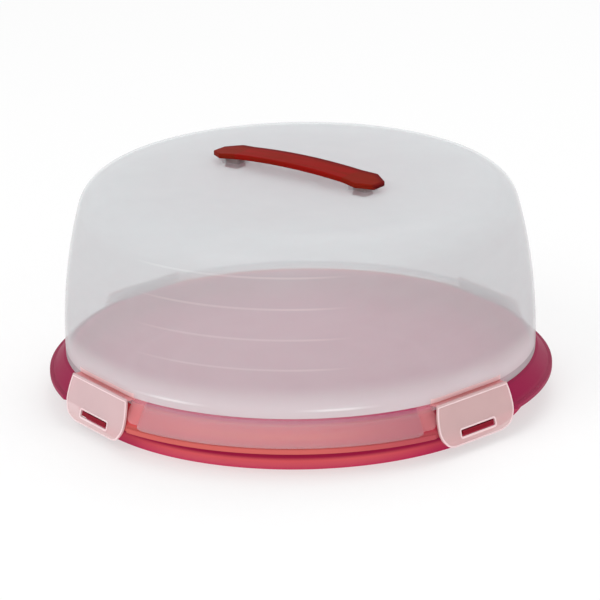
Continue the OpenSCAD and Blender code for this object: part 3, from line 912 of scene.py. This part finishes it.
def latch_outline():
    """The flat outline of a latch as (across, down), from its hinge to its round lower corners."""
    total = latch_flap_l + latch_bend_r * latch_bend_a + latch_tip_l
    half_w = latch_w / 2 + latch_bulge
    flare_v = total - latch_corner_r
    side_r = (flare_v ** 2 + latch_bulge ** 2) / (2 * latch_bulge)
    side = arc_points(half_w - side_r, flare_v, side_r, -math.asin(flare_v / side_r), 0, 10)
    corner = arc_points(half_w - latch_corner_r, flare_v, latch_corner_r, 0, math.pi / 2, 14)[1:]
    right = side + corner
    return right + [(-u, v) for u, v in reversed(right)]


def folded(u, v, t):
    """Where a point of the flat latch lies once its end is turned down, before it is hung."""
    if v <= latch_flap_l:
        return (t, u, -v)
    angle = min((v - latch_flap_l) / latch_bend_r, latch_bend_a)
    rest = max(v - latch_flap_l - latch_bend_r * latch_bend_a, 0)
    reach = latch_bend_r + t
    return (reach * math.cos(angle) - latch_bend_r - rest * math.sin(angle), u,
            -latch_flap_l - reach * math.sin(angle) - rest * math.cos(angle))


def latch_meshes():
    """A flap with its slot and raised border, and the bead that it turns on, before they are hung."""
    work = bmesh.new()
    slot = [(u, v + slot_v) for u, v in rounded_outline(slot_l, slot_h, slot_corner_r, 4)]
    edges = []
    for outline in (latch_outline(), slot):
        corners = [work.verts.new((u, v, latch_t / 2)) for u, v in outline]
        for index, corner in enumerate(corners):
            edges.append(work.edges.new((corners[index - 1], corner)))
    bmesh.ops.triangle_fill(work, use_beauty=True, edges=edges)
    bmesh.ops.recalc_face_normals(work, faces=work.faces)
    if work.faces[0].normal.z < 0:
        bmesh.ops.reverse_faces(work, faces=work.faces)
    for width, step in ((border_w, 0), (border_step_w, -border_step)):
        flat = [face for face in work.faces if face.select or width == border_w]
        ring = bmesh.ops.inset_region(work, faces=flat, thickness=width, depth=step,
                                      use_even_offset=True, use_boundary=True)["faces"]
        for face in work.faces:
            face.select = face in flat and face not in ring
    bmesh.ops.solidify(work, geom=work.faces[:], thickness=latch_t)
    rim = [edge for edge in work.edges if len(edge.link_faces) == 2
           and edge.calc_face_angle() > math.radians(60)]
    bmesh.ops.bevel(work, geom=rim, offset=latch_edge_r, segments=3, profile=0.5, affect="EDGES")
    cuts = 8
    for cut in range(cuts + 1):
        v = latch_flap_l + latch_bend_r * latch_bend_a * cut / cuts
        bmesh.ops.bisect_plane(work, geom=work.verts[:] + work.edges[:] + work.faces[:],
                               plane_co=(0, v, 0), plane_no=(0, 1, 0))
    raised = work.verts.layers.float.new("border")
    for vert in work.verts:
        vert[raised] = 1.0 if vert.co.z > latch_t / 2 - border_step * 0.9 else 0.0
        vert.co = folded(*vert.co)
    mesh = bpy.data.meshes.new("latch")
    work.to_mesh(mesh)
    work.free()
    last_a = math.tau * (bead_steps - 1) / bead_steps
    bead_outline = arc_points(0, 0, hinge_bead_r, 0, last_a, bead_steps - 1)
    bead = slab(bead_outline, -latch_w / 2, latch_w / 2, 0.3 * mm, 3)
    moved(bead, Matrix.Rotation(math.pi / 2, 4, "X"))
    return mesh, bead


latches = {
    "latch_front_left": -math.pi / 2 - latch_a,
    "latch_front_right": -math.pi / 2 + latch_a,
    "latch_back_right": math.pi / 2 - latch_a,
    "latch_back_left": math.pi / 2 + latch_a,
}
for name, turn in latches.items():
    parts = [moved(part, on_hinge, Matrix.Rotation(turn, 4, "Z")) for part in latch_meshes()]
    place_piece(name + "_flap", joined(name, parts, latch_material, 28), name, "latch_plastic", name)


# Catches. Part of the tray's moulding: a low bar on each seat that stands in its latch's slot, with a
# pad behind it that stiffens the rim.
catch_end_gap = 1.5 * mm
catch_side_gap = 0.9 * mm
catch_l = slot_l - 2 * catch_end_gap
catch_h = slot_h - 2 * catch_side_gap
catch_root = 1 * mm
catch_sunk = 0.2 * mm
catch_top = latch_t / 2 - catch_sunk
catch_drop = 4.2 * mm
pad_side = 2 * mm
pad_short = 0.6 * mm
catch_bar = slab(rounded_outline(catch_l, catch_h, 0.6 * mm), -seat_drop - catch_root, catch_top,
                 0.4 * mm)
moved(catch_bar, Matrix.Rotation(math.pi / 2, 4, "Y"), Matrix.Rotation(math.pi / 2, 4, "X"),
      Matrix.Translation((0, 0, -slot_v)), on_hinge)
pad_end = (hinge_z - rim_z + catch_drop) / math.cos(latch_lean) - pad_short
pad_start = (hinge_z - rim_z) / math.cos(latch_lean) - catch_root
pad = slab(rounded_outline(catch_l + 2 * pad_side, tray_t, 0.5 * mm, 3), -pad_end, -pad_start,
           0.3 * mm)
moved(pad, Matrix.Rotation(math.pi / 2, 4, "Z"), Matrix.Translation((-seat_drop - tray_t / 2, 0, 0)),
      on_hinge)
catches = [at_each_latch("catches", catch_bar, tray_material),
           at_each_latch("catch_pads", pad, tray_material)]
place_piece("tray_catches", joined("tray_catches", catches, tray_material), "tray", "tray_plastic")


# Handle. A strap in dark red plastic, arched over the crown, with a flared and pointed end on each
# side. Two legs under it snap through the lid.
handle_h = 10.5 * mm
handle_top_z = lid_top_z + handle_h
strap_w = 23 * mm
strap_t = 3.6 * mm
strap_drop = 4.5 * mm
flare_w = 27 * mm
flare_l = 24 * mm
tip_w = 11 * mm
strap_r = (handle_l ** 2 / 4 + strap_drop ** 2) / (2 * strap_drop)
strap_edge_r = 1.0 * mm

handle_top = paint(138, 18, 12)
handle_edge_shade = paint(100, 14, 18)
handle_brown = paint(116, 34, 16)

handle_material, graph = new_material("handle_plastic")
where = graph.node("ShaderNodeTexCoord", out="Object")
border = graph.node("ShaderNodeAttribute", {"attribute_name": "border"}, out="Fac")
ends = graph.node("ShaderNodeAttribute", {"attribute_name": "ends"}, out="Fac")
lengthways = graph.node("ShaderNodeVectorRotate", {"rotation_type": "Z_AXIS"},
                        {"Vector": where, "Angle": math.pi / 2 - handle_a})
lengthways = graph.vector("MULTIPLY", lengthways, (0.16, 1.0, 1.0))
streak = graph.node("ShaderNodeTexNoise", None,
                    {"Vector": lengthways, "Scale": 260.0, "Detail": 3.0})
colour = graph.blend(ends * 0.5, handle_top, handle_brown)
colour = graph.blend(graph.between(streak, 0.42, 0.64) * 0.45, colour, handle_brown)
# Painted shade: the strap darkens along its back edge and at its tips.
colour = graph.blend(border, colour, handle_edge_shade)
surface = graph.node("ShaderNodeBsdfPrincipled", None, {
    "Base Color": colour, "Roughness": 0.52 + streak * 0.14, "IOR": 1.5,
    "Specular IOR Level": 0.03, "Normal": fine_grain(graph, where, 700.0, 0.02 * mm)})
graph.node("ShaderNodeOutputMaterial", None, {"Surface": surface})


def strap_half_width(x):
    """Half the width of the strap at a distance along it."""
    end = handle_l / 2
    wide = end - flare_l / 2
    neck = end - flare_l
    away = abs(x)
    if away < neck:
        return strap_w / 2
    if away < wide:
        return (strap_w + (flare_w - strap_w) * (away - neck) / (wide - neck)) / 2
    return (flare_w + (tip_w - flare_w) * (away - wide) / (end - wide)) / 2


def across(points, following, cuts=16):
    """The points, and then even steps from the last of them towards the following one."""
    (x, y), (end_x, end_y) = points[-1], following
    return points + [(x + (end_x - x) * cut / cuts, y + (end_y - y) * cut / cuts)
                     for cut in range(1, cuts)]


def strap_mesh(columns=120):
    """The arched strap with its flared ends, as a row of rounded sections."""
    rings = []
    end = handle_l / 2
    for column in range(columns + 1):
        x = -end + handle_l * column / columns
        inset = corner_rise(end - abs(x), strap_edge_r)
        half = strap_half_width(x) - inset
        top = handle_top_z - strap_r + math.sqrt(strap_r ** 2 - x ** 2)
        corners = rounded_outline(2 * half, strap_t - 2 * inset, strap_edge_r * 0.9, 5)
        section = across(corners[:6], corners[6]) + across(corners[6:18], corners[18]) + corners[18:]
        rings.append([(x, py, top - strap_t / 2 + pz) for py, pz in section])
    return loft(rings)


leg_below = 2.2 * mm
leg_into_strap = 1 * mm
leg_drop = 0.62 * strap_drop
barb_h = 1.6 * mm
barb_out = 0.9 * mm
leg_low_z = lid_top_z - crown_rise - lid_t - leg_below
leg_high_z = handle_top_z - leg_drop - strap_t + leg_into_strap
legs = []
for side in (-1, 1):
    spot = Matrix.Translation((side * leg_x, 0, 0))
    leg = slab(rounded_outline(leg_l, leg_w, 0.8 * mm), leg_low_z, leg_high_z, 0.4 * mm)
    foot_outline = rounded_outline(leg_l + 2 * pad_rim, leg_w + 2 * pad_rim, pad_rim)
    foot = slab(foot_outline, pad_top_z, leg_high_z, 0.5 * mm)
    barb_outline = rounded_outline(leg_l, leg_w + 2 * barb_out, 0.6 * mm)
    barb = slab(barb_outline, leg_low_z, leg_low_z + barb_h, 0.4 * mm)
    legs += [moved(part, spot) for part in (leg, foot, barb)]
handle_mesh = joined("handle", [strap_mesh()] + legs, handle_material, 40)


def at_shaded_edge(point):
    """Painted shade: 1 along the strap's back edge and at its two tips, fading to 0 inwards."""
    back = ease(point.y - strap_half_width(point.x), -7 * mm, -1 * mm)
    tip = ease(abs(point.x) - handle_l / 2, -2 * mm, -0.4 * mm)
    return max(back, tip)


def at_flared_end(point):
    """1 on the flared ends, 0 on the strap between them."""
    return float(abs(point.x) > handle_l / 2 - flare_l)


for attribute, rule in (("border", at_shaded_edge), ("ends", at_flared_end)):
    values = [rule(vertex.co) for vertex in handle_mesh.vertices]
    handle_mesh.attributes.new(attribute, "FLOAT", "POINT").data.foreach_set("value", values)
moved(handle_mesh, along_handle)
place_piece("handle_strap", handle_mesh, "lid", "handle_plastic", "handle")


# Sizes. The box of the pieces that are shown, with the floor left out.
low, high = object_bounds()
